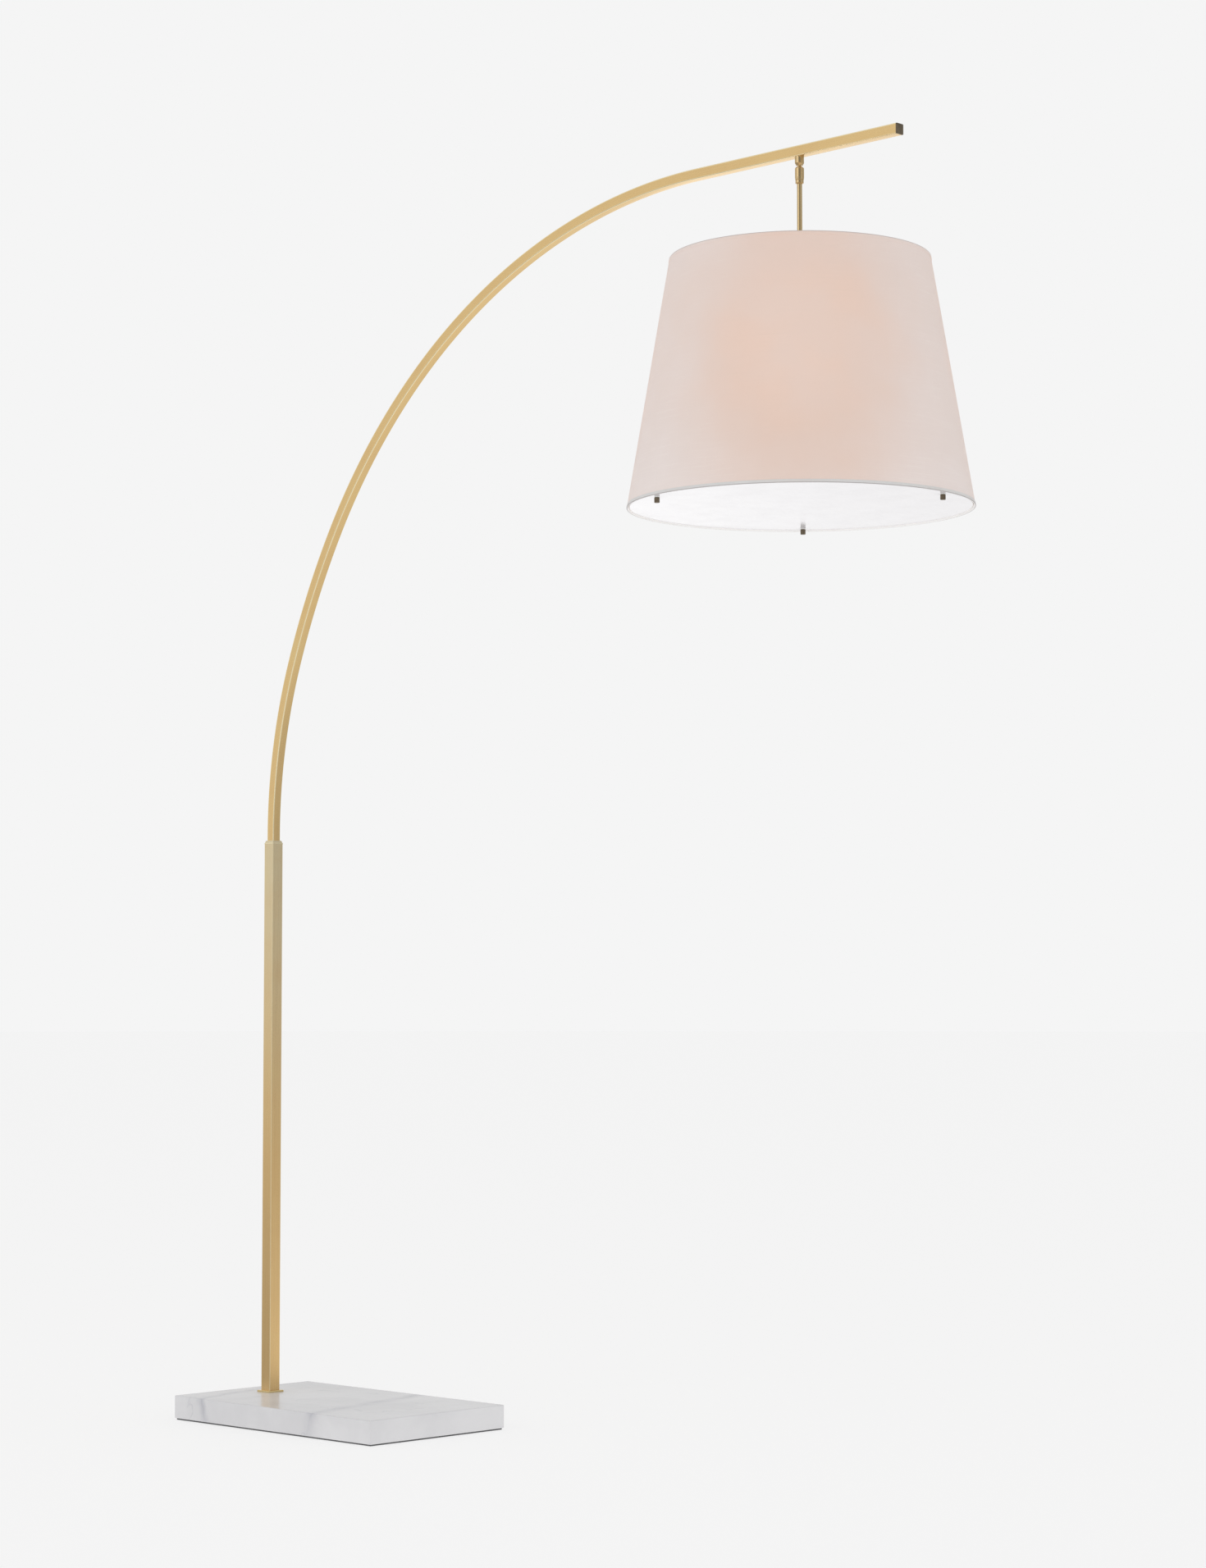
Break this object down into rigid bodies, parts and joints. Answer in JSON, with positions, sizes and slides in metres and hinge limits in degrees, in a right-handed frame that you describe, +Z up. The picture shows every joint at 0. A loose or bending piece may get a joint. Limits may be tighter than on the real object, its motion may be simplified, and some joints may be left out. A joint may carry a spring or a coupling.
{
  "type": "arc floor lamp",
  "caption": "Arc floor lamp: a square tube arm curves over from a pole on a stone slab and carries a tapered drum shade on a swivel, closed below by a diffuser.",
  "frame": {"origin": "on the floor, under the pole's axis, at the underside of the felt", "axes": "+Z up; +X the way the arm reaches, along the slab's long side; +Y across the slab"},
  "size_m": [1.5521, 0.5242, 2.0073],
  "materials": {
    "marble": "polished",
    "felt": "matt",
    "satin_brass": "satin",
    "dark_bronze": "satin",
    "zinc_steel": "satin",
    "black_nylon": "matt",
    "clear_nylon": "satin",
    "rubber": "matt",
    "lead_sheath": "satin",
    "linen": "woven",
    "shade_lining": "satin",
    "white_wire": "gloss",
    "porcelain": "glazed",
    "bulb_cap": "satin",
    "bulb_glass": "frosted",
    "opal_acrylic": "satin"
  },
  "bodies": {
    "stand": {"base_felt": "felt", "marble_slab": "marble", "foot_flange": "satin_brass", "tie_rod": "zinc_steel", "tie_washer": "zinc_steel", "spring_washer": "zinc_steel", "tie_nut": "zinc_steel", "pole_tube": "satin_brass", "foot_plug": "zinc_steel", "cord_grommet": "rubber", "pole_cap": "satin_brass", "arm_sleeve": "black_nylon", "grub_screws": "zinc_steel", "arc_arm": "satin_brass", "arm_end_cap": "dark_bronze", "arm_lead": "lead_sheath", "swivel_lead": "lead_sheath", "swivel_coupling": "satin_brass", "stem_nut": "zinc_steel", "ball_stud": "zinc_steel"},
    "liner_ring": {"ball_liner": "clear_nylon"},
    "seat_ring": {"ball_seat": "satin_brass"},
    "shade": {"swivel_ring_nut": "satin_brass", "swivel_barrel": "satin_brass", "rod_lock_ring": "satin_brass", "drop_rod": "satin_brass", "rod_lead": "lead_sheath", "shade_linen": "linen", "shade_liner": "shade_lining", "top_hem": "linen", "bottom_hem": "linen", "top_ring": "white_wire", "bottom_ring": "white_wire", "spider_hub": "white_wire", "spider_arms": "white_wire", "rod_nuts": "satin_brass", "cluster_body": "satin_brass", "cluster_cover": "satin_brass", "socket_nipples": "zinc_steel", "socket_cups": "satin_brass", "socket_cores": "porcelain", "socket_leads": "lead_sheath", "diffuser_tabs": "white_wire", "diffuser_studs": "zinc_steel"},
    "diffuser_panel": {"diffuser": "opal_acrylic", "nylon_washers": "clear_nylon"},
    "bulb_1": {"bulb_cap_1": "bulb_cap", "bulb_glass_1": "bulb_glass"},
    "bulb_2": {"bulb_cap_2": "bulb_cap", "bulb_glass_2": "bulb_glass"},
    "bulb_3": {"bulb_cap_3": "bulb_cap", "bulb_glass_3": "bulb_glass"},
    "thumb_nut_1": {"thumb_nut_1": "dark_bronze"},
    "thumb_nut_2": {"thumb_nut_2": "dark_bronze"},
    "thumb_nut_3": {"thumb_nut_3": "dark_bronze"}
  },
  "joints": [
    {"name": "swing_lengthwise", "type": "hinge", "parent": "stand", "child": "liner_ring", "pos_m": [1.215, 0, 1.9721], "axis": [0, 1, 0], "range_deg": [-18, 18]},
    {"name": "swing_sideways", "type": "hinge", "parent": "liner_ring", "child": "seat_ring", "pos_m": [1.215, 0, 1.9721], "axis": [1, 0, 0], "range_deg": [-18, 18]},
    {"name": "shade_turn", "type": "hinge", "parent": "seat_ring", "child": "shade", "pos_m": [1.215, 0, 1.9721], "axis": [0, 0, 1], "range_deg": [-170, 170]},
    {"name": "diffuser_drop", "type": "slide", "parent": "shade", "child": "diffuser_panel", "axis": [0, 0, -1], "range_m": [0, 0.12]},
    {"name": "bulb_1_unscrew", "type": "slide", "parent": "shade", "child": "bulb_1", "axis": [0.262, 0.7198, -0.6428], "range_m": [0, 0.034]},
    {"name": "bulb_2_unscrew", "type": "slide", "parent": "shade", "child": "bulb_2", "axis": [-0.7544, -0.133, -0.6428], "range_m": [0, 0.034]},
    {"name": "bulb_3_unscrew", "type": "slide", "parent": "shade", "child": "bulb_3", "axis": [0.4924, -0.5868, -0.6428], "range_m": [0, 0.034]},
    {"name": "thumb_nut_1_turn", "type": "hinge", "parent": "diffuser_panel", "child": "thumb_nut_1", "pos_m": [1.45332, 0.04202, 1.454], "axis": [0, 0, 1], "continuous": true},
    {"name": "thumb_nut_2_turn", "type": "hinge", "parent": "diffuser_panel", "child": "thumb_nut_2", "pos_m": [1.05944, 0.18538, 1.454], "axis": [0, 0, 1], "continuous": true},
    {"name": "thumb_nut_3_turn", "type": "hinge", "parent": "diffuser_panel", "child": "thumb_nut_3", "pos_m": [1.13223, -0.22741, 1.454], "axis": [0, 0, 1], "continuous": true}
  ]
}
